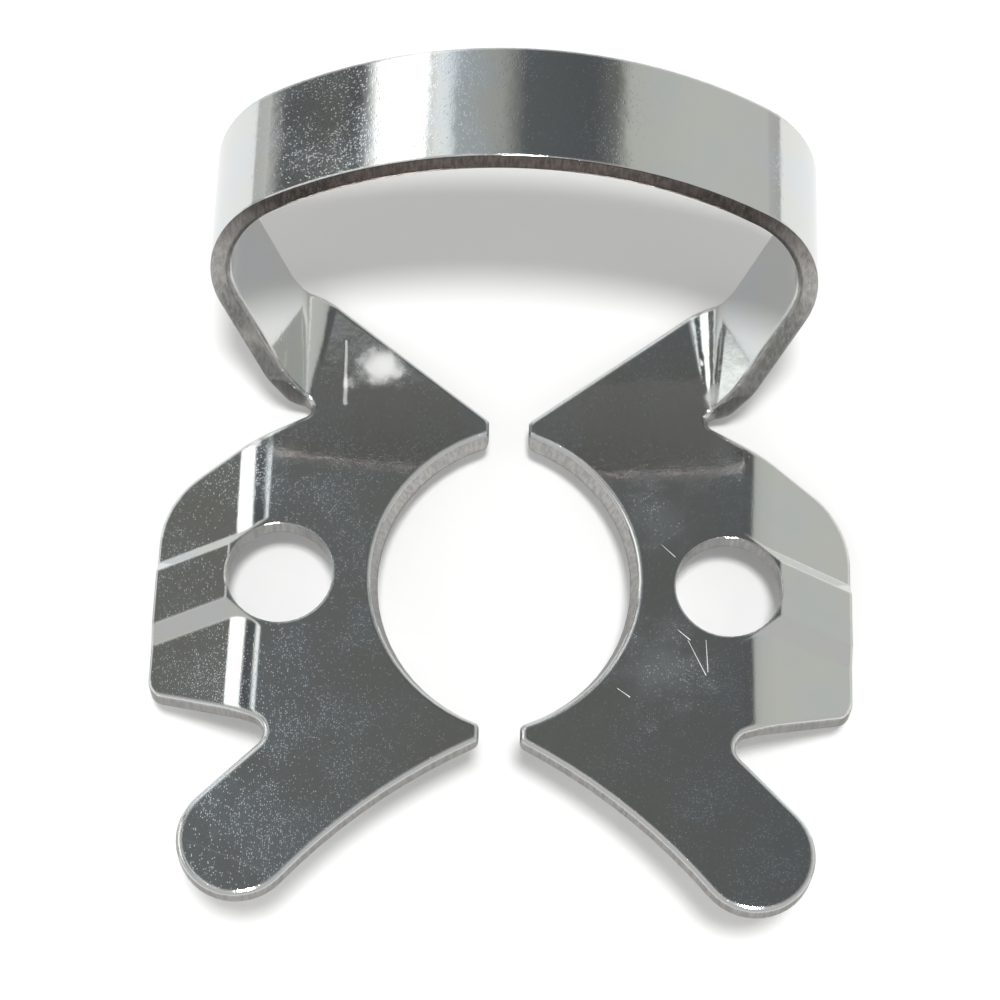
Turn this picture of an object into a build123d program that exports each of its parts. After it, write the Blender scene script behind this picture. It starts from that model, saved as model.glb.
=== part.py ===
from build123d import *
import os
from math import asin, atan2, cos, degrees, radians, sin, sqrt, tan

# Rubber dam clamp: one blank of spring steel, pressed and bent into a bow with two jaws.
# Working frame: the upper face of the jaw plates is z = 0, the hole line is y = 0, the bow is at +Y.
# The finished clamp is tipped back to lie as it rests on a table, on its wings and on the back of its feet.
# Lengths are in millimetres and angles in degrees.

# Sheet
sheet = 0.6
edge_round = 0.15

# Jaws in plan, right-hand side
prong_gap = 1.2
prong_blunt = 0.45
prong_round = 0.42 * prong_blunt
jaw_arc_radius = 4.93
jaw_arc_past_middle = 0.95
jaw_arc_y = 0.1
jaw_arc_draft = 20.0
back_edge_slope = 38.0
hole_x = 6.65
hole_diameter = 3.15

# Central wings, bent down along a line beside the holes
wing_bend_x = 7.6
wing_bend_radius = 1.3
wing_drop = 30.0
wing_reach = 10.45
wing_back_slope = 28.0
wing_back_round = 2.2
wing_front_y = -3.35
wing_front_round = 0.65

# Pressed rib that stiffens each central wing
rib_y = 0.1
rib_height = 0.3
rib_width = 1.7
rib_back_flank = 0.4
rib_front_flank = 0.55
rib_slant = 9.0

# Anterior wings
front_notch_x = 6.42
front_notch_y = -4.78
front_notch_round = 0.5
tip_x = 7.4
tip_y = -8.2
tip_radius = 1.72
front_edge_radius = 18.0

# Bow: a strip that rises from the feet, leans back and closes over the top
strip_front_y = 5.75
strip_width = 3.48
bow_lean = 15.2
lean_start = 1.0
lean_radius = 2.0
bow_height = 10.5
bow_half_width = 8.75
shoulder_radius = 3.4
crown_radius = 13.9
foot_x = 6.15
foot_front_radius = 0.3
foot_back_radius = 1.2
foot_tab = 2.9
foot_notch_round = 0.3
foot_back_round = 1.3

# How edges are told apart: a turn this sharp is a cut edge, and points this close are the same
sharp_turn = 50.0
same_place = 0.001

# Search for the tilt at rest: from flat to this limit, halving the range this often
tilt_limit = 45.0
tilt_halvings = 24


def on_circle(centre, radius, angle):
    """Point on a circle, at an angle from straight up towards +X."""
    return (centre[0] + radius * sin(radians(angle)), centre[1] + radius * cos(radians(angle)))


def heading(centre, point):
    """Angle of a point seen from a centre, from straight up towards +X."""
    return degrees(atan2(point[0] - centre[0], point[1] - centre[1])) % 360


def mirrored(point):
    return (-point[0], point[1])


def shoulder_centre():
    """Centre of the right shoulder arc, which runs smoothly into the crown arc."""
    x = bow_half_width - shoulder_radius
    return (x, bow_height - crown_radius + sqrt((crown_radius - shoulder_radius) ** 2 - x**2))


def arm_rise():
    """Angle of the right arm, from the corner of its foot to the shoulder arc it touches."""
    shoulder = shoulder_centre()
    away = (shoulder[0] - foot_x, shoulder[1])
    distance = sqrt(away[0] ** 2 + away[1] ** 2)
    return degrees(atan2(away[1], away[0]) - asin((shoulder_radius - sheet) / distance))


def foot_bend(y):
    """Radius of the bend at the foot: tight beside the notch and wide at the back."""
    return foot_front_radius + (y - strip_front_y) / strip_width * (foot_back_radius - foot_front_radius)


def foot_start(y):
    """Where the flat plate begins to bend up into the arm."""
    return foot_x - foot_bend(y) * tan(radians(arm_rise() / 2))


def strip_line(outset, y):
    """One face of the strip seen from the front, from the right foot over the crown to the left foot."""
    rise = arm_rise()
    crown = (0, bow_height - crown_radius)
    shoulder = shoulder_centre()
    join = degrees(asin(shoulder[0] / (crown_radius - shoulder_radius)))
    foot = (foot_start(y), foot_bend(y))
    bend = foot_bend(y) + outset
    side = shoulder_radius - sheet + outset
    top = crown_radius - sheet + outset
    tab = (foot_x - foot_tab, -outset)
    foot_points = [on_circle(foot, bend, 180 - turn) for turn in (0, rise / 2, rise)]
    over = 180 - rise
    shoulder_points = [on_circle(shoulder, side, turn) for turn in (over, (over + join) / 2, join)]
    half = [tab] + foot_points + shoulder_points
    other = [mirrored(point) for point in reversed(half)]
    return [
        Line(half[0], half[1]),
        ThreePointArc(*half[1:4]),
        Line(half[3], half[4]),
        ThreePointArc(*half[4:7]),
        ThreePointArc(half[6], on_circle(crown, top, 0), other[0]),
        ThreePointArc(*other[0:3]),
        Line(other[2], other[3]),
        ThreePointArc(*other[3:6]),
        Line(other[5], other[6]),
    ]


def strip_section(y):
    """Section of the bent strip across its width."""
    inner = strip_line(0, y)
    outer = strip_line(sheet, y)
    ends = [Line(inner[0] @ 0, outer[0] @ 0), Line(inner[-1] @ 1, outer[-1] @ 1)]
    section = Face(Wire(inner + outer + ends))
    return Plane(origin=(0, y, 0), x_dir=(1, 0, 0), z_dir=(0, -1, 0)) * section


def notch_centre():
    """Centre of the round notch between the foot and the central wing."""
    y = strip_front_y - foot_notch_round
    return (foot_start(y) + foot_notch_round, y)


def foot_zone():
    """Room of the right foot: the notch in front, the straight edge behind."""
    notch = notch_centre()
    middle = on_circle(notch, foot_notch_round, -45)
    top = (notch[0], strip_front_y)
    left = (notch[0] - foot_notch_round, notch[1])
    back_y = strip_front_y + strip_width
    tip = prong_tip(1)
    kink = (tip[0] + (back_y - tip[1]) / tan(radians(back_edge_slope)), back_y)
    lines = [
        Line(tip, (tip[0], left[1])),
        Line((tip[0], left[1]), left),
        ThreePointArc(left, middle, top),
        Line(top, (wing_reach, strip_front_y)),
        Line((wing_reach, strip_front_y), (wing_reach, back_y)),
        Line((wing_reach, back_y), kink),
        Line(kink, tip),
    ]
    plan = Face(Wire(lines))
    plan = plan.fillet_2d(foot_back_round, [plan.vertices().sort_by_distance(kink)[0]])
    depth = 2 * sheet
    return extrude(Pos(0, 0, -depth) * plan, amount=depth + lean_start, dir=(0, 0, 1))


def bow_zone():
    """Side view of the strip above its feet: upright at first, then leaning back."""
    high = bow_height + sheet
    sides = []
    for y in (strip_front_y, strip_front_y + strip_width):
        turn = JernArc((y, lean_start), (0, 1), lean_radius, -bow_lean)
        rest = (turn @ 1).X + (high - (turn @ 1).Y) * tan(radians(bow_lean))
        sides.append([turn, Line(turn @ 1, (rest, high))])
    front, back = sides
    ends = [Line(front[0] @ 0, back[0] @ 0), Line(front[1] @ 1, back[1] @ 1)]
    return extrude(Plane.YZ * Face(Wire(front + back + ends)), amount=wing_reach, both=True)


def bow():
    """Feet, arms and crown: a folded sheet cut to the width of the strip."""
    back_y = strip_front_y + strip_width + bow_height * tan(radians(bow_lean))
    folded = loft([strip_section(notch_centre()[1]), strip_section(back_y)], ruled=True)
    foot = foot_zone()
    return folded & (bow_zone() + foot + mirror(foot, about=Plane.YZ))


def prong_tip(side):
    """Blunt end of a prong: side 1 is the back prong and side -1 the front prong."""
    prong_x = prong_gap / 2
    half_span = sqrt(jaw_arc_radius**2 - (prong_x + jaw_arc_past_middle) ** 2)
    return (prong_x, jaw_arc_y + side * (half_span + prong_blunt))


def tangent_point(point, centre, radius):
    """Where a line from a point touches a circle on its +X side."""
    away = (centre[0] - point[0], centre[1] - point[1])
    distance = sqrt(away[0] ** 2 + away[1] ** 2)
    aim = atan2(away[1], away[0]) + asin(radius / distance)
    length = sqrt(distance**2 - radius**2)
    return (point[0] + length * cos(aim), point[1] + length * sin(aim))


def hollow_edge(start, tip):
    """Hollow front edge: an arc from the round tip, which it leaves smoothly, to the front prong."""
    away = (tip[0] - start[0], tip[1] - start[1])
    distance = sqrt(away[0] ** 2 + away[1] ** 2)
    along = (front_edge_radius**2 - (front_edge_radius + tip_radius) ** 2 + distance**2) / (2 * distance)
    aside = sqrt(front_edge_radius**2 - along**2)
    unit = (away[0] / distance, away[1] / distance)
    centre = (start[0] + along * unit[0] + aside * unit[1], start[1] + along * unit[1] - aside * unit[0])
    first = heading(centre, tip)
    last = heading(centre, start)
    return [on_circle(centre, front_edge_radius, turn) for turn in (first, (first + last) / 2, last)]


def jaw_outline():
    """Right jaw in plan, still without the arc between its prongs."""
    back_tip = prong_tip(1)
    front_tip = prong_tip(-1)
    foot_in = foot_x - foot_tab / 2
    foot_back = (foot_in, back_tip[1] + (foot_in - back_tip[0]) * tan(radians(back_edge_slope)))
    foot_front = (foot_in, strip_front_y + sheet)
    notch = notch_centre()
    notch_left = (notch[0] - foot_notch_round, notch[1])
    notch_side = on_circle(notch, foot_notch_round, 180 + wing_back_slope)
    notch_middle = on_circle(notch, foot_notch_round, 225 + wing_back_slope / 2)
    wing_back = (wing_reach, notch_side[1] - (wing_reach - notch_side[0]) * tan(radians(wing_back_slope)))
    wing_front = (wing_reach, wing_front_y)
    front_notch = (front_notch_x, front_notch_y)
    tip = (tip_x, tip_y)
    touch = tangent_point(front_notch, tip, tip_radius)
    hollow = hollow_edge(front_tip, tip)
    tip_end = on_circle(tip, tip_radius, (heading(tip, touch) + heading(tip, hollow[0])) / 2)
    outline = [
        Line(back_tip, foot_back),
        Line(foot_back, foot_front),
        Line(foot_front, notch_left),
        ThreePointArc(notch_left, notch_middle, notch_side),
        Line(notch_side, wing_back),
        Line(wing_back, wing_front),
        Line(wing_front, front_notch),
        Line(front_notch, touch),
        ThreePointArc(touch, tip_end, hollow[0]),
        ThreePointArc(*hollow),
        Line(front_tip, back_tip),
    ]
    plan = Face(Wire(outline))
    for corner, radius in [
        (wing_back, wing_back_round),
        (wing_front, wing_front_round),
        (front_notch, front_notch_round),
    ]:
        vertex = plan.vertices().sort_by_distance(corner)[0]
        plan = plan.fillet_2d(radius, [vertex])
    return plan


def jaw_section():
    """Plate and down-bent wing seen from the front."""
    upper = wing_bend_radius + sheet
    start_x = wing_bend_x - upper * tan(radians(wing_drop / 2))
    centre = (start_x, -upper)
    length = 2 * (wing_reach - wing_bend_x)
    run = (length * cos(radians(wing_drop)), -length * sin(radians(wing_drop)))
    lines = []
    for radius in (upper, wing_bend_radius):
        bend = [on_circle(centre, radius, turn) for turn in (0, wing_drop / 2, wing_drop)]
        end = (bend[2][0] + run[0], bend[2][1] + run[1])
        lines.append([Line((0, bend[0][1]), bend[0]), ThreePointArc(*bend), Line(bend[2], end)])
    top, bottom = lines
    ends = [Line(top[0] @ 0, bottom[0] @ 0), Line(top[2] @ 1, bottom[2] @ 1)]
    return Face(Wire(top + bottom + ends))


def rib_body(drop):
    """Ridge along the wing, steep behind and gentle in front, dropped by a depth in the sheet."""
    turn = radians(wing_drop)
    slant = radians(rib_slant)
    out = Vector(cos(turn), 0, -sin(turn))
    back = Vector(0, 1, 0)
    along = out * cos(slant) - back * sin(slant)
    across = out * sin(slant) + back * cos(slant)
    half = rib_width / 2
    ridge = Polyline(
        (-half - 2 * rib_front_flank, -rib_height - drop),
        (-half, rib_height - drop),
        (half, rib_height - drop),
        (half + 2 * rib_back_flank, -rib_height - drop),
        close=True,
    )
    plane = Plane(origin=(wing_bend_x, rib_y, 0), x_dir=across, z_dir=along)
    return extrude(plane * Face(Wire(ridge.edges())), amount=2 * (wing_reach - wing_bend_x), both=True)


def below(z):
    """Everything on the right-hand side under a level."""
    depth = 2 * wing_reach
    return Pos(wing_reach, 0, z - depth / 2) * Box(2 * wing_reach, 4 * wing_reach, depth)


def jaw():
    """Right jaw: bent sheet cut to its outline, with the rib, the hole and the jaw arc."""
    depth = 2 * wing_reach
    outline = extrude(jaw_outline(), amount=depth, both=True)
    split = Plane(origin=(0, front_notch_y, 0), x_dir=(1, 0, 0), z_dir=(0, -1, 0))
    bent = extrude(split * jaw_section(), amount=depth, dir=(0, 1, 0))
    flat = Pos(wing_reach / 2, front_notch_y - depth / 2, -sheet / 2) * Box(wing_reach, depth, sheet)
    body = bent + (rib_body(0) & below(0)) - (rib_body(sheet) & below(-sheet)) + flat
    body = body & outline
    hole = Pos(hole_x, 0, 0) * Cylinder(hole_diameter / 2, depth)
    flare = 2 * sheet * tan(radians(jaw_arc_draft))
    flared = Cone(jaw_arc_radius - flare, jaw_arc_radius + flare, 4 * sheet)
    return body - hole - Pos(-jaw_arc_past_middle, jaw_arc_y, 0) * flared


def on_hole(point):
    """Whether a point lies on the wall of either hole."""
    from_axis = sqrt((abs(point.X) - hole_x) ** 2 + point.Y**2)
    return abs(from_axis - hole_diameter / 2) < same_place


def prong_corners(body):
    """Upright edges at the blunt ends of the prongs."""
    ends = body.edges().filter_by_position(Axis.Z, -sheet, 0, inclusive=(False, False))
    return [edge for edge in ends if abs(abs((edge @ 0.5).X) - prong_gap / 2) < same_place]


def edge_turns(body):
    """Each edge with the two faces that meet there and the angle between them."""
    sides = [(face, face.edges()) for face in body.faces()]
    turns = []
    for edge in body.edges():
        middle = edge @ 0.5
        pair = [face for face, edges in sides if any(edge.is_same(other) for other in edges)]
        turns.append((edge, pair, pair[0].normal_at(middle).get_angle(pair[-1].normal_at(middle))))
    return turns


def rolled_edges(body):
    """Cut edges on one side of the sheet: the top of the jaws and the inside of the bow."""
    turns = edge_turns(body)
    plates = body.faces().filter_by(Axis.Z)
    reached = [plates.sort_by_distance((hole_x - hole_diameter, 0, 0))[0]]
    # The list grows while it is read, so it spreads over every bend but not over a cut edge.
    for face in reached:
        for edge, pair, turn in turns:
            if face in pair and turn < sharp_turn:
                reached.extend(other for other in pair if other not in reached)
    picked = []
    for edge, pair, turn in turns:
        on_side = any(face in reached for face in pair)
        if turn > sharp_turn and on_side and not on_hole(edge @ 0.5):
            picked.append(edge)
    return picked


def clamp():
    """Bow and both jaws in one piece, with the edges of one side rolled over by the punch."""
    right = jaw()
    blank = (bow() + right + mirror(right, about=Plane.YZ)).solid()
    blunted = blank.fillet(prong_round, prong_corners(blank))
    return blunted.fillet(edge_round, rolled_edges(blunted))


def rest_tilt(body):
    """Angle at which the tipped clamp touches the table with its wings and its feet at once."""
    depth = 4 * wing_reach
    low_half = Pos(0, 0, lean_start - depth / 2) * Box(depth, depth, depth)
    back_half = Pos(0, strip_front_y + depth / 2, 0) * Box(depth, depth, depth)
    wings = body & low_half - back_half
    feet = body & low_half & back_half
    least = 0
    most = tilt_limit
    for halving in range(tilt_halvings):
        tilt = (least + most) / 2
        wing_low = (Rot(-tilt, 0, 0) * wings).bounding_box().min.Z
        foot_low = (Rot(-tilt, 0, 0) * feet).bounding_box().min.Z
        if foot_low > wing_low:
            least = tilt
        else:
            most = tilt
    return tilt


def at_rest(body):
    """The clamp tipped back and set down, with the origin under the middle of its box."""
    tipped = Rot(-rest_tilt(body), 0, 0) * body
    box = tipped.bounding_box()
    return Pos(0, -box.center().Y, -box.min.Z) * tipped


os.makedirs("parts", exist_ok=True)
export_step(at_rest(clamp()), "parts/clamp.step")
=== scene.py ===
# %% [markdown]
# # A polished rubber dam clamp
# The real clamp is one blank of spring steel. It is pressed and bent, so it has no separate pieces.
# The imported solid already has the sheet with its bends, ribs and holes, and with the edges of one side rounded.
# This lesson gives it a camera, a studio to reflect and the finishes of polished and punched steel.
# Everything is in metres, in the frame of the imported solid.

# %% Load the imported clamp
import bpy
from math import cos, pi, radians, sin
from mathutils import Matrix, Vector


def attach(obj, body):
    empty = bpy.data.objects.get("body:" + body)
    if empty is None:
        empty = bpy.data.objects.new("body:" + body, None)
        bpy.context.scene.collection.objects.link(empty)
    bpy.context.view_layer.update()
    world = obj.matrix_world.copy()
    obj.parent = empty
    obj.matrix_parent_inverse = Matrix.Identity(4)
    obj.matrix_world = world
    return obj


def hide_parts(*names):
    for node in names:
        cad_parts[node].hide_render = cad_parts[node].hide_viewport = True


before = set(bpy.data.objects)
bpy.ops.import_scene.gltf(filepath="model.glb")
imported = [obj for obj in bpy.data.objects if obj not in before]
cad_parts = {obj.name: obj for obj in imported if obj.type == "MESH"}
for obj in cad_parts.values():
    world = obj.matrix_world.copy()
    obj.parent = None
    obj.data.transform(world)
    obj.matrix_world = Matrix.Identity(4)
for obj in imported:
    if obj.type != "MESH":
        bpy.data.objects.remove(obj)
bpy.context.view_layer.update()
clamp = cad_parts["clamp"]

# %% [markdown]
# ## The frame of the jaw plates
# At rest the clamp is tipped back, because it stands on its wings and on the back of its feet.
# Its faces are easier to describe in the frame of the flat jaw plates: x to the right, y to the bow, z off the plates.
# One function turns a direction of that frame into the frame of the scene, another one a point,
# and a third one goes back from the scene to the plates.

# %% From the plates to the scene and back
MM_PER_M = 1000
TIP = radians(13.948455)
SHIFT = Vector((0, -2.075674, 2.759602))


def plate_direction(x, y, z):
    """A direction given in the frame of the jaw plates."""
    return Vector((x, y * cos(TIP) + z * sin(TIP), -y * sin(TIP) + z * cos(TIP)))


def plate_point(x, y, z):
    """A point given in millimetres in the frame of the jaw plates."""
    return (plate_direction(x, y, z) + SHIFT) / MM_PER_M


PLATE_AXES = [plate_direction(1, 0, 0), plate_direction(0, 1, 0), plate_direction(0, 0, 1)]


def seen_from_plates(direction):
    """A direction of the scene, given in the frame of the jaw plates."""
    return Vector([direction.dot(axis) for axis in PLATE_AXES])


print("plates face", tuple(round(v, 3) for v in PLATE_AXES[2]))

# %% [markdown]
# ## The camera
# The photograph looks down on the clamp from the front, a little over 24 degrees off the square view of the plates.
# The top of the bow is nearer to the lens than the jaws, so the distance shows in the perspective.
# A long lens 91 mm away gives the same spread, and a small roll gives the same slope of the picture.

# %% Camera
DISTANCE = 91.0
LEAN = radians(24.3)
ROLL = radians(1.86)
AIM = (-0.2, 2.58, 0)
FOCAL_PIXELS, PICTURE_PIXELS = 3043.0, 1000
SENSOR_WIDTH = 36.0
NEAR, FAR = 0.005, 20.0
back = plate_direction(0, -sin(LEAN), cos(LEAN))
level_up = plate_direction(0, cos(LEAN), sin(LEAN))
right = cos(ROLL) * Vector((1, 0, 0)) + sin(ROLL) * level_up
up = cos(ROLL) * level_up - sin(ROLL) * Vector((1, 0, 0))
camera_data = bpy.data.cameras.new("camera")
camera_data.sensor_width = SENSOR_WIDTH
camera_data.lens = FOCAL_PIXELS * SENSOR_WIDTH / PICTURE_PIXELS
camera_data.clip_start = NEAR
camera_data.clip_end = FAR
camera = bpy.data.objects.new("camera", camera_data)
turned = Matrix((right, up, back)).transposed().to_4x4()
camera.matrix_world = Matrix.Translation(plate_point(*AIM) + back * DISTANCE / MM_PER_M) @ turned
bpy.context.scene.collection.objects.link(camera)
bpy.context.scene.camera = camera
print("camera at", tuple(round(v, 4) for v in camera.location), "lens", round(camera_data.lens, 1))

# %% [markdown]
# ## The floor
# A plain pale sheet, far larger than the view, so that it is also what the underside of the clamp reflects.

# %% Floor
REACH = 3.0
FLOOR_COLOUR = (0.9, 0.9, 0.9, 1)
FLOOR_ROUGHNESS = 0.7
corners = [(-REACH, -REACH, 0), (REACH, -REACH, 0), (REACH, REACH, 0), (-REACH, REACH, 0)]
floor_mesh = bpy.data.meshes.new("floor")
floor_mesh.from_pydata(corners, [], [(0, 1, 2, 3)])
floor = bpy.data.objects.new("floor", floor_mesh)
bpy.context.scene.collection.objects.link(floor)
floor_paint = bpy.data.materials.new("pale_floor")
floor_paint.use_nodes = True
floor_shader = floor_paint.node_tree.nodes["Principled BSDF"]
floor_shader.inputs["Base Color"].default_value = FLOOR_COLOUR
floor_shader.inputs["Roughness"].default_value = FLOOR_ROUGHNESS
floor_mesh.materials.append(floor_paint)
print("floor", 2 * REACH, "m across")

# %% [markdown]
# ## The key light
# A soft lamp nearly overhead puts the shadow just below each part in the picture, much as in the photograph.
# A sun lamp with a wide disc does it: the shadow is dark close to the steel and soft further away.

# %% Key light
KEY_STRENGTH = 1.95
KEY_DISC = radians(9)
KEY_FROM = (0.03, 0.06, 1.0)
key_data = bpy.data.lights.new("key", "SUN")
key_data.energy = KEY_STRENGTH
key_data.angle = KEY_DISC
key = bpy.data.objects.new("key", key_data)
towards_key = Vector(KEY_FROM).normalized()
key.rotation_mode = "QUATERNION"
key.rotation_quaternion = towards_key.to_track_quat("Z", "Y")
bpy.context.scene.collection.objects.link(key)
print("key light", key_data.energy, "from", tuple(round(v, 2) for v in towards_key))

# %% [markdown]
# ## Working with nodes
# The room and the finishes are made of shader nodes. A few helpers keep that short: one adds a node and joins it to
# what it reads, and the others do the usual sums with numbers, vectors and colours.

# %% Helpers for nodes


def add(tree, kind, links=(), **values):
    """A node with its settings, joined to the sockets or given the values that it reads."""
    node = tree.nodes.new(kind)
    for name, value in values.items():
        setattr(node, name, value)
    for label, source in links:
        if isinstance(source, bpy.types.NodeSocket):
            tree.links.new(source, node.inputs[label])
        else:
            node.inputs[label].default_value = source
    return node


def sums(tree, operation, first, second):
    """The result of one sum with numbers."""
    return add(tree, "ShaderNodeMath", [(0, first), (1, second)], operation=operation).outputs[0]


def vectors(tree, operation, first, second):
    """The result of one sum with vectors."""
    node = add(tree, "ShaderNodeVectorMath", [(0, first), (1, second)], operation=operation)
    return node.outputs["Value" if operation in ("DOT_PRODUCT", "DISTANCE") else "Vector"]


def between(tree, value, low, high):
    """A soft step from 0 to 1 between two values."""
    links = [("Value", value), ("From Min", low), ("From Max", high)]
    return add(tree, "ShaderNodeMapRange", links, interpolation_type="SMOOTHSTEP").outputs["Result"]


def blend(tree, factor, first, second):
    """A blend of two colours."""
    links = [("Factor", factor), ("A", first), ("B", second)]
    return add(tree, "ShaderNodeMix", links, data_type="RGBA").outputs["Result"]


print("helpers ready")

# %% [markdown]
# ## The studio that the steel reflects
# Polished steel has hardly any colour of its own: what we see on it is the room.
# Along the bow the outer face turns from left to right, so it shows the room as a row of upright bands.
# The plates and the wings are flat and show one band each.
# So the room is a dome whose brightness depends on the angle round the long axis of the plates.

# %% Angle round the plates
world = bpy.data.worlds.new("studio")
bpy.context.scene.world = world
world.use_nodes = True
sky = world.node_tree
sky.nodes.clear()
ray = add(sky, "ShaderNodeTexCoord").outputs["Generated"]
across, along, off = [vectors(sky, "DOT_PRODUCT", ray, axis) for axis in PLATE_AXES]
turn = sums(sky, "ARCTAN2", across, off)
share = add(sky, "ShaderNodeMapRange", [("Value", turn), ("From Min", -pi), ("From Max", pi)]).outputs["Result"]
print("dome nodes", len(sky.nodes))

# %% [markdown]
# The camera sees the bow at a flatter angle than the jaws, so the bow reflects the room further back.
# That gives two rows of cards, one above the other. Each is a colour ramp along the angle, read from left to right.
# The bow shows a pale wall, a dark gap, a strong window with a narrow one beside it, a dark ceiling and a light wall.
# The jaws show a dark wall, the same window in the bend of the left wing, the dark ceiling and the light wall.
# Each stop has its angle in degrees, its light and its tint.

# %% Two rows of cards
GAIN = 0.85
PALE = (1.0, 1.0, 0.98)
OLIVE = (1.0, 1.01, 0.96)
COOL = (0.93, 1.0, 1.05)
BOW_ROW = [
    (-180, 0.6, PALE), (-80, 0.7, PALE), (-65, 0.85, PALE), (-62, 0.15, COOL), (-46, 0.17, OLIVE),
    (-42, 0.11, COOL), (-39, 0.22, COOL), (-35, 2.6, PALE), (-24, 2.6, PALE), (-22.5, 0.8, COOL),
    (-21, 1.3, PALE), (-17.5, 1.3, COOL), (-15.5, 0.58, COOL), (-4, 0.5, OLIVE), (1, 0.17, COOL),
    (19, 0.14, COOL), (25, 0.22, OLIVE), (28, 0.7, OLIVE), (45, 0.76, OLIVE), (65, 0.76, PALE),
    (85, 0.55, PALE), (180, 0.6, PALE),
]
JAW_ROW = [
    (-180, 0.95, PALE), (-95, 0.8, PALE), (-80, 0.23, OLIVE), (-63, 0.21, OLIVE), (-62, 0.5, OLIVE),
    (-60, 2.4, PALE), (-37, 2.4, PALE), (-33, 0.3, COOL), (-30, 0.13, COOL), (-16, 0.14, COOL),
    (-13.5, 1.5, PALE), (-9.5, 1.5, COOL), (-7.5, 0.2, COOL), (0, 0.18, OLIVE), (8, 0.15, COOL),
    (20, 0.16, OLIVE), (26, 0.66, OLIVE), (40, 0.72, OLIVE), (66, 0.76, OLIVE), (180, 0.95, PALE),
]


def card_row(stops):
    """A colour ramp along the angle."""
    node = add(sky, "ShaderNodeValToRGB", [("Fac", share)])
    ramp = node.color_ramp
    while len(ramp.elements) > 1:
        ramp.elements.remove(ramp.elements[-1])
    for index, (angle, light, tint) in enumerate(stops):
        place = (angle + 180) / 360
        stop = ramp.elements[0] if index == 0 else ramp.elements.new(place)
        stop.position = place
        stop.color = [GAIN * light * part for part in tint] + [1]
    return node.outputs["Color"]


bow_row = card_row(BOW_ROW)
jaw_row = card_row(JAW_ROW)
print(len(BOW_ROW), "and", len(JAW_ROW), "cards")

# %% [markdown]
# The rows meet at the height between the two reflections. The front half of the room is plain and evenly lit:
# it lights the floor and the front edges. The camera itself sees a plain white backdrop.

# %% The whole dome
ROWS_MEET = (0.45, 0.475)
FRONT_STARTS = (0.15, -0.1)
FRONT_LIGHT = (0.64, 0.63, 0.62, 1)
BACKDROP = (1.0, 1.0, 1.0, 1)
rows = blend(sky, between(sky, along, *ROWS_MEET), jaw_row, bow_row)
room = blend(sky, between(sky, along, *FRONT_STARTS), rows, FRONT_LIGHT)
camera_ray = add(sky, "ShaderNodeLightPath").outputs["Is Camera Ray"]
glow = add(sky, "ShaderNodeBackground", [("Color", blend(sky, camera_ray, room, BACKDROP))])
add(sky, "ShaderNodeOutputWorld", [("Surface", glow.outputs["Background"])])
bpy.context.scene.view_settings.view_transform = "Standard"
print("dome ready,", len(sky.links), "links")

# %% [markdown]
# ## The sheet and its cut walls
# A punched part has two kinds of surface: the polished faces of the sheet, and the rougher walls that the punch cut.
# One mesh with two finishes shows that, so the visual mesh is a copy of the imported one, face for face, and each face
# is sorted by the way it looks.
# On the jaws a wall stands upright to the plates, and on the bow it looks along the length of the plates.
# The sides of the ribs are steep and look along the plates as well, so there a wall has to be steeper to count.

# %% Copy the mesh and find the walls
FLAT_LEVEL = 0.02
LOOKS_DOWN, LOOKS_ALONG = -0.2, 0.3
BOW_WALL, BOW_WALL_BELOW = 0.62, 0.3
JAW_WALL, JAW_WALL_ALONG = 0.6, 0.42


def level_of(point):
    """How far a point of the scene is above the top of the plates, in millimetres."""
    return seen_from_plates(point * MM_PER_M - SHIFT).z


def is_wall(face):
    """Whether a face belongs to a cut wall of the sheet."""
    looks = seen_from_plates(face.normal)
    if level_of(face.center) > FLAT_LEVEL:
        return abs(looks.y) > (BOW_WALL_BELOW if looks.z < LOOKS_DOWN else BOW_WALL)
    return abs(looks.z) < (JAW_WALL_ALONG if abs(looks.y) > LOOKS_ALONG else JAW_WALL)


skin = bpy.data.meshes.new_from_object(clamp)
skin.name = "polished_clamp"
skin.materials.clear()
cut_faces = [face.index for face in skin.polygons if is_wall(face)]
print(len(skin.polygons), "faces,", len(cut_faces), "on cut walls")

# %% [markdown]
# A polishing wheel may not reach the underside of the crown well, so the steel is taken to be rougher there. That is a
# choice. Its colour is made dark there as well, a painted shade that keeps the reflection of the underside in the
# plates dark, which suits the photograph.
# A value per vertex, which grows as the face turns down inside the bow, keeps it for the finish.

# %% Underside of the crown
DULL_AND_SHADE_FROM, DULL_AND_SHADE_RANGE = 0.05, 0.45
BOW_FROM, BOW_RANGE = 2.5, 2.0


def clipped(value):
    """The value, kept between 0 and 1."""
    return min(max(value, 0), 1)


dull_and_shade = skin.attributes.new("dull_and_shaded_underside", "FLOAT", "POINT")
for vertex in skin.vertices:
    turned_down = clipped((-seen_from_plates(vertex.normal).z - DULL_AND_SHADE_FROM) / DULL_AND_SHADE_RANGE)
    in_bow = clipped((level_of(vertex.co) - BOW_FROM) / BOW_RANGE)
    dull_and_shade.data[vertex.index].value = turned_down * in_bow
print("duller vertices", sum(1 for item in dull_and_shade.data if item.value > 0.5))

# %% [markdown]
# ## Effects for the finishes
# A shader node group is a small machine with named sockets. It is built once and placed in a finish, as often as
# needed, with its own values each time. These helpers make an empty one and give it the place on the steel and a noise.

# %% Helpers for effects


def effect(name, inputs, outputs):
    """An empty node group, the sockets it is given and the sockets of its results."""
    tree = bpy.data.node_groups.new(name, "ShaderNodeTree")
    for label, value in inputs:
        kind = "NodeSocketVector" if isinstance(value, tuple) else "NodeSocketFloat"
        tree.interface.new_socket(label, in_out="INPUT", socket_type=kind).default_value = value
    for label in outputs:
        kind = "NodeSocketVector" if label == "Normal" else "NodeSocketFloat"
        tree.interface.new_socket(label, in_out="OUTPUT", socket_type=kind)
    return tree, tree.nodes.new("NodeGroupInput").outputs, tree.nodes.new("NodeGroupOutput").inputs


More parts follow.
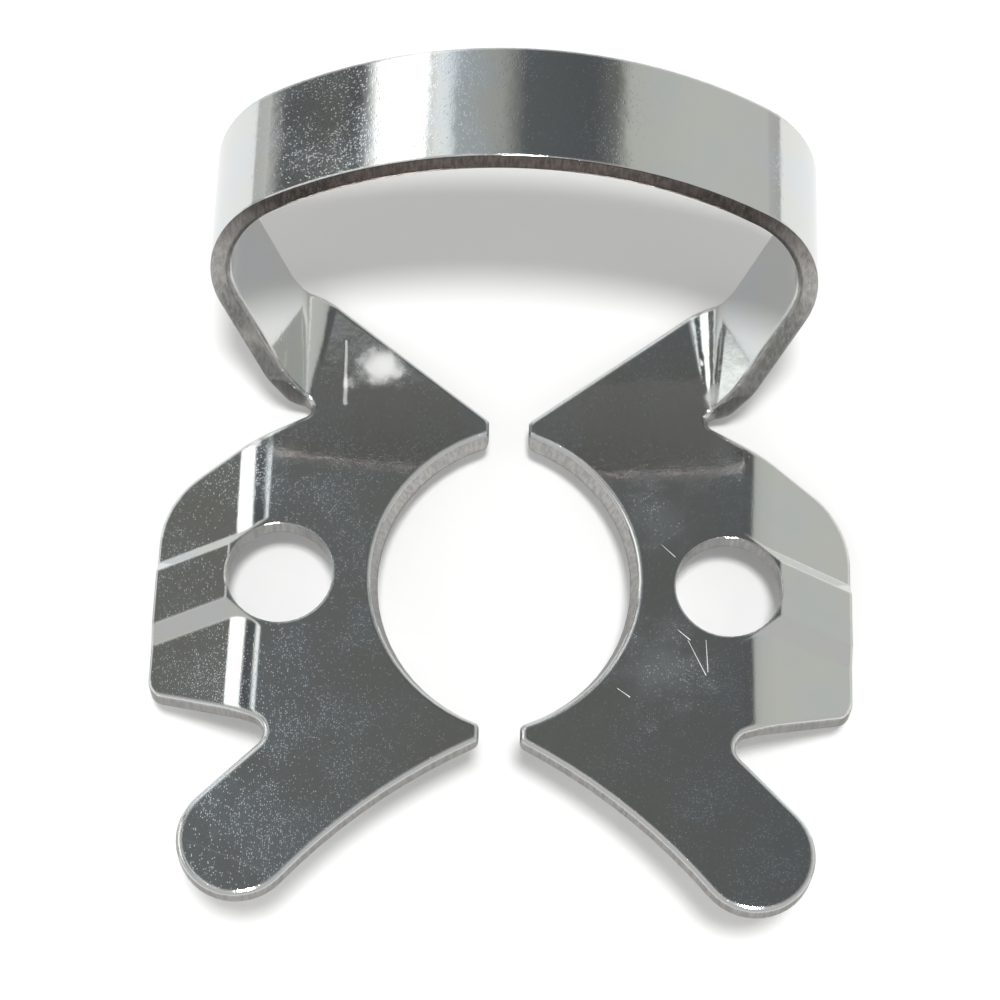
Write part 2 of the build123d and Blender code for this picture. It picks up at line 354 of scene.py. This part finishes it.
def on_steel(tree):
    """The place on the clamp, in metres."""
    return add(tree, "ShaderNodeTexCoord").outputs["Object"]


def noise(tree, place, scale, detail):
    """A noise from 0 to 1."""
    links = [("Vector", place), ("Scale", scale), ("Detail", detail)]
    return add(tree, "ShaderNodeTexNoise", links).outputs["Fac"]


print("effect helpers ready")

# %% [markdown]
# **Polishing pits.** Close up, the mirror of the plates is full of tiny pits that sparkle, a few hundredths of a
# millimetre across. A texture of irregular cells places them, and a slow noise gathers them in cloudy patches, because
# no polish is even.

# %% Polishing pits
CLOUD_SCALE, CLOUD_DETAIL = 520.0, 3.0
CLOUD_EDGE = (0.38, 0.66)
PIT_EDGE = (0.1, 0.55)
LEAST_PITS = 0.25
tree, given, result = effect("polishing_pits", [("Size", 0.00006), ("Share", 0.5)], ["Pit", "Cloud"])
where = on_steel(tree)
cells = sums(tree, "DIVIDE", 1.0, given["Size"])
cell = add(tree, "ShaderNodeTexVoronoi", [("Vector", where), ("Scale", cells)])
chance = add(tree, "ShaderNodeSeparateColor", [("Color", cell.outputs["Color"])]).outputs["Red"]
cloud = between(tree, noise(tree, where, CLOUD_SCALE, CLOUD_DETAIL), *CLOUD_EDGE)
limit = sums(tree, "MULTIPLY", given["Share"], sums(tree, "ADD", LEAST_PITS, cloud))
picked = sums(tree, "LESS_THAN", chance, limit)
bowl = sums(tree, "SUBTRACT", 1.0, between(tree, cell.outputs["Distance"], *PIT_EDGE))
tree.links.new(sums(tree, "MULTIPLY", bowl, picked), result["Pit"])
tree.links.new(cloud, result["Cloud"])
print("polishing_pits", len(tree.nodes), "nodes")

# %% [markdown]
# **Hairlines.** Handling leaves fine scratches in all directions. A noise that is stretched about a hundredfold in one
# direction looks like hairs. Three turned copies cross each other, and only the crests of each are kept.

# %% Hairlines
HAIR_TURNS = (0.35, 1.35, 2.5)
HAIR_STRETCH = (150.0, 16000.0, 150.0)
HAIR_CREST = (0.76, 0.84)
tree, given, result = effect("hairlines", [("Amount", 0.5)], ["Hair"])
where = on_steel(tree)
crossed = 0.0
for turned_by in HAIR_TURNS:
    spread = add(tree, "ShaderNodeMapping", [("Vector", where), ("Rotation", (0.0, 0.0, turned_by))])
    stretch = add(tree, "ShaderNodeMapping", [("Vector", spread.outputs["Vector"]), ("Scale", HAIR_STRETCH)])
    crest = between(tree, noise(tree, stretch.outputs["Vector"], 1.0, 0.0), *HAIR_CREST)
    crossed = sums(tree, "MAXIMUM", crossed, crest)
tree.links.new(sums(tree, "MULTIPLY", crossed, given["Amount"]), result["Hair"])
print("hairlines", len(tree.nodes), "nodes")

# %% [markdown]
# **Eased edges.** No edge of polished sheet is quite sharp. The solid has its edges rounded on the top of the jaws and
# the inside of the bow only. This effect turns the normals next to every edge a little, in the shading alone, so the
# crisp edges of the other side catch a thin light as well.

# %% Eased edges
EASE = 0.0001
EASE_SAMPLES = 4
tree, given, result = effect("eased_edge", [("Radius", EASE)], ["Normal"])
eased = add(tree, "ShaderNodeBevel", [("Radius", given["Radius"])], samples=EASE_SAMPLES)
tree.links.new(eased.outputs["Normal"], result["Normal"])
print("eased_edge", len(tree.nodes), "nodes")

# %% [markdown]
# ** Marked lines.** The photograph shows a bright bar by the left foot, a painted highlight, and a few scratches on the right plate.
# A line is the set of points near a segment. It is thinner at its start than at its end.

# %% Marked lines
THIN_START = 0.4
LINE_CORE = 0.1
ORIGIN = (0.0, 0.0, 0.0)
tree, given, result = effect("scratch_and_highlight_line", [("From", ORIGIN), ("To", ORIGIN), ("Width", 0.0001)], ["Mark"])
run = vectors(tree, "SUBTRACT", given["To"], given["From"])
gone = vectors(tree, "SUBTRACT", on_steel(tree), given["From"])
share_gone = sums(tree, "DIVIDE", vectors(tree, "DOT_PRODUCT", gone, run), vectors(tree, "DOT_PRODUCT", run, run))
part = sums(tree, "MINIMUM", sums(tree, "MAXIMUM", share_gone, 0.0), 1.0)
nearest = add(tree, "ShaderNodeVectorMath", [(0, run), ("Scale", part)], operation="SCALE").outputs["Vector"]
away = vectors(tree, "DISTANCE", gone, nearest)
taper = sums(tree, "ADD", sums(tree, "MULTIPLY", part, 1 - THIN_START), THIN_START)
half = sums(tree, "MULTIPLY", sums(tree, "MULTIPLY", given["Width"], 0.5), taper)
outside = between(tree, away, sums(tree, "MULTIPLY", half, LINE_CORE), half)
tree.links.new(sums(tree, "SUBTRACT", 1.0, outside), result["Mark"])
print("scratch_and_highlight_line", len(tree.nodes), "nodes")

# %% [markdown]
# ** Spots.** There are also painted highlights: bright spots beside the feet and a hazy bluish glow on the right plate.
# A spot is the set of points near a centre, and a noise in the distance makes it uneven.

# %% Spots
SPOT_SCALE, SPOT_DETAIL = 1400.0, 3.0
UNEVEN_SPREAD, UNEVEN_LEAST = 2.2, -0.1
SPOT_CORE = 0.1
tree, given, result = effect("painted_highlight_spot", [("Centre", ORIGIN), ("Reach", 0.0005)], ["Spot"])
where = on_steel(tree)
uneven = sums(tree, "MULTIPLY", noise(tree, where, SPOT_SCALE, SPOT_DETAIL), UNEVEN_SPREAD)
straight = vectors(tree, "DISTANCE", where, given["Centre"])
away = sums(tree, "MULTIPLY", straight, sums(tree, "ADD", uneven, UNEVEN_LEAST))
outside = between(tree, away, sums(tree, "MULTIPLY", given["Reach"], SPOT_CORE), given["Reach"])
tree.links.new(sums(tree, "SUBTRACT", 1.0, outside), result["Spot"])
print("painted_highlight_spot", len(tree.nodes), "nodes")

# %% [markdown]
# ## Where the marks are
# The places are on the plates, in millimetres. A line has a start, an end and a width, a spot or haze a centre and a
# reach. They are places in the scene, so the marks stay where they are on the steel.

# %% Marks
# the first line is the bright bar, a painted highlight; the others are scratches
SCRATCHES_AND_HIGHLIGHT_BAR = [
    ((-5.07, 7.75), (-4.99, 5.64), 0.26),
    ((5.15, -1.42), (5.5, -1.72), 0.045), ((5.44, -1.73), (5.97, -2.81), 0.045), ((5.97, -1.71), (6.03, -2.71), 0.04),
    ((4.66, 1.28), (5.05, 0.91), 0.04), ((3.38, -3.3), (3.76, -3.57), 0.04),
]
# painted highlights: the spots beside the feet and the bluish hazes on the right plate
HIGHLIGHT_SPOTS = [((-3.93, 6.93), 1.05), ((6.44, 6.22), 0.6), ((-7.73, 4.36), 0.25)]
HIGHLIGHT_HAZES = [((4.6, -2.6), 2.2), ((4.6, 2.0), 1.7)]
print(len(SCRATCHES_AND_HIGHLIGHT_BAR), "lines,", len(HIGHLIGHT_SPOTS), "spots,", len(HIGHLIGHT_HAZES), "hazes")

# %% [markdown]
# ## Working with finishes
# A finish starts as plain metal. Effects are placed in it, their masks are gathered or weighed, and a relief turns the
# normals. Both finishes need that, so it is done by helpers.

# %% Helpers for finishes


def metal_finish(name):
    """A new metal material, its nodes and the sockets of its shader."""
    material = bpy.data.materials.new(name)
    material.use_nodes = True
    shader = material.node_tree.nodes["Principled BSDF"].inputs
    shader["Metallic"].default_value = 1.0
    return material, material.node_tree, shader


def placed(tree, name, **values):
    """The results of one use of an effect with its own values."""
    node = add(tree, "ShaderNodeGroup", values.items(), node_tree=bpy.data.node_groups[name])
    return node.outputs


def strongest(tree, masks):
    """The largest of several masks."""
    top = masks[0]
    for mask in masks[1:]:
        top = sums(tree, "MAXIMUM", top, mask)
    return top


def weighed(tree, ground, masks):
    """A ground value, with each mask added by its weight."""
    total = ground
    for mask, weight in masks:
        total = sums(tree, "ADD", sums(tree, "MULTIPLY", mask, weight), total)
    return total


def raise_relief(tree, shader, height):
    """Turn the normals by a relief in metres, over eased edges."""
    eased = placed(tree, "eased_edge", Radius=EASE)["Normal"]
    links = [("Strength", 1.0), ("Distance", 1.0), ("Height", height), ("Normal", eased)]
    tree.links.new(add(tree, "ShaderNodeBump", links).outputs["Normal"], shader["Normal"])


print("finish helpers ready")

# %% [markdown]
# ## Polished spring steel
# The faces of the sheet: a mirror with pits and hairlines, slightly uneven in tone, and rougher under the crown, where
# its dark colour is painted shade. The bright spots, the bright bar and the bluish hazes are painted highlights.
# Pits, hairs and marks are rougher than the mirror round them, so they show a blur of the bright room.
# Pits and lines also stand in the relief, with a slow wave and a fine ripple, so the edges of the reflected bands are
# a little ragged.

# %% Polished finish: masks


def scratch_and_highlight_masks(tree, places):
    """The mask of several lines: scratches and the bar, a painted highlight."""
    masks = []
    for start, end, width in places:
        ends = {"From": plate_point(*start, 0), "To": plate_point(*end, 0)}
        masks.append(placed(tree, "scratch_and_highlight_line", Width=width / MM_PER_M, **ends)["Mark"])
    return strongest(tree, masks)


def painted_highlight_masks(tree, places):
    """The mask of several spots, which are painted highlights."""
    masks = []
    for centre, reach in places:
        masks.append(placed(tree, "painted_highlight_spot", Centre=plate_point(*centre, 0), Reach=reach / MM_PER_M)["Spot"])
    return strongest(tree, masks)


steel, tree, shader = metal_finish("polished_spring_steel")
pits = placed(tree, "polishing_pits", Share=0.5)
pit, cloud = pits["Pit"], pits["Cloud"]
hair = placed(tree, "hairlines", Amount=0.35)["Hair"]
scratch_and_bar_lines = scratch_and_highlight_masks(tree, SCRATCHES_AND_HIGHLIGHT_BAR)
highlight_spots = painted_highlight_masks(tree, HIGHLIGHT_SPOTS)
haze_and_glow = painted_highlight_masks(tree, HIGHLIGHT_HAZES)
underside_dull_and_shade = add(tree, "ShaderNodeAttribute", attribute_name="dull_and_shaded_underside").outputs["Fac"]
print("masks", len(tree.nodes), "nodes")

# %% Polished finish: colour, roughness and relief
OLIVE_STEEL = (0.672, 0.68, 0.658, 1)
# the blue tone is random in the clouds and a painted bluish glow in the hazes
BLUE_STEEL_AND_GLOW = (0.65, 0.68, 0.695, 1)
# near white: painted highlight on the spots and the bar, and the colour of the scratches
HIGHLIGHT_AND_SCRATCH_WHITE = (0.88, 0.88, 0.87, 1)
# painted shade: the dark colour given to the underside of the crown
SHADED_UNDERSIDE_COLOUR = (0.18, 0.18, 0.175, 1)
MIRROR = 0.07
WAVE_SCALE, WAVE_DETAIL = 260.0, 1.0
RIPPLE_SCALE, RIPPLE_DETAIL = 1800.0, 2.0
# The tone takes the painted glow of the hazes, then the painted highlights of the spots and the bar, then the painted
# shade under the crown.
tone = blend(tree, strongest(tree, [cloud, haze_and_glow]), OLIVE_STEEL, BLUE_STEEL_AND_GLOW)
bright = blend(tree, strongest(tree, [highlight_spots, scratch_and_bar_lines]), tone, HIGHLIGHT_AND_SCRATCH_WHITE)
tree.links.new(blend(tree, underside_dull_and_shade, bright, SHADED_UNDERSIDE_COLOUR), shader["Base Color"])
ROUGHER = [(pit, 0.11), (hair, 0.12), (cloud, 0.03), (haze_and_glow, 0.11), (scratch_and_bar_lines, 0.3), (highlight_spots, 0.45), (underside_dull_and_shade, 0.3)]
tree.links.new(weighed(tree, MIRROR, ROUGHER), shader["Roughness"])
where = on_steel(tree)
wave = noise(tree, where, WAVE_SCALE, WAVE_DETAIL)
ripple = noise(tree, where, RIPPLE_SCALE, RIPPLE_DETAIL)
HEIGHTS = [(pit, -0.0000008), (wave, 0.000012), (ripple, 0.000003), (scratch_and_bar_lines, -0.000004)]
raise_relief(tree, shader, weighed(tree, 0.0, HEIGHTS))
print("polished_spring_steel", len(tree.nodes), "nodes")

# %% [markdown]
# ## Punched walls
# A punch leaves fine upright drag lines through the thickness of the sheet, and the walls get less polish.
# A noise that is stretched along the stroke of the punch makes the lines, and the same pits are used, smaller and with
# a larger share. The walls of the crown are given a darker and browner colour than those of the jaws, a painted shade
# and a choice that suits the tones of the photograph.

# %% Punched finish
LOW_WALL = [(0.33, 0.325, 0.315, 1), (0.46, 0.45, 0.435, 1)]
# painted shade: a darker, browner colour for the cut walls of the crown
SHADED_CROWN_WALL = [(0.07, 0.062, 0.058, 1), (0.13, 0.11, 0.10, 1)]
CROWN_SHADE_HEIGHT = (0.0075, 0.011)
EDGE_TINT = (0.5, 0.5, 0.5, 1)
STROKE = (11000.0, 11000.0, 900.0)
STREAK_EDGE = (0.3, 0.7)
WALL_POLISH = 0.1
wall, tree, shader = metal_finish("punched_wall_steel")
shader["Specular Tint"].default_value = EDGE_TINT
pit = placed(tree, "polishing_pits", Share=0.6, Size=0.00004)["Pit"]
where = on_steel(tree)
upright = add(tree, "ShaderNodeMapping", [("Vector", where), ("Rotation", (TIP, 0.0, 0.0))])
stroke = add(tree, "ShaderNodeMapping", [("Vector", upright.outputs["Vector"]), ("Scale", STROKE)])
drag = noise(tree, stroke.outputs["Vector"], 1.0, 2.0)
streak = between(tree, drag, *STREAK_EDGE)
# painted shade grows with height on the cut walls of the crown
crown_shade = between(tree, vectors(tree, "DOT_PRODUCT", where, PLATE_AXES[2]), *CROWN_SHADE_HEIGHT)
colour = blend(tree, crown_shade, blend(tree, streak, *LOW_WALL), blend(tree, streak, *SHADED_CROWN_WALL))
tree.links.new(colour, shader["Base Color"])
tree.links.new(weighed(tree, WALL_POLISH, [(drag, 0.12), (pit, 0.1)]), shader["Roughness"])
raise_relief(tree, shader, weighed(tree, 0.0, [(drag, 0.000002), (pit, -0.0000015)]))
print("punched_wall_steel", len(tree.nodes), "nodes")

# %% [markdown]
# ## Put the clamp together
# The copy takes the two finishes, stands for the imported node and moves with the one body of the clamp.

# %% Dressed clamp
skin.materials.append(steel)
skin.materials.append(wall)
for index in cut_faces:
    skin.polygons[index].material_index = 1
dressed = bpy.data.objects.new("polished_clamp", skin)
bpy.context.scene.collection.objects.link(dressed)
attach(dressed, "root")
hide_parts("clamp")
print("dressed", dressed.name, "with", len(skin.materials), "finishes")
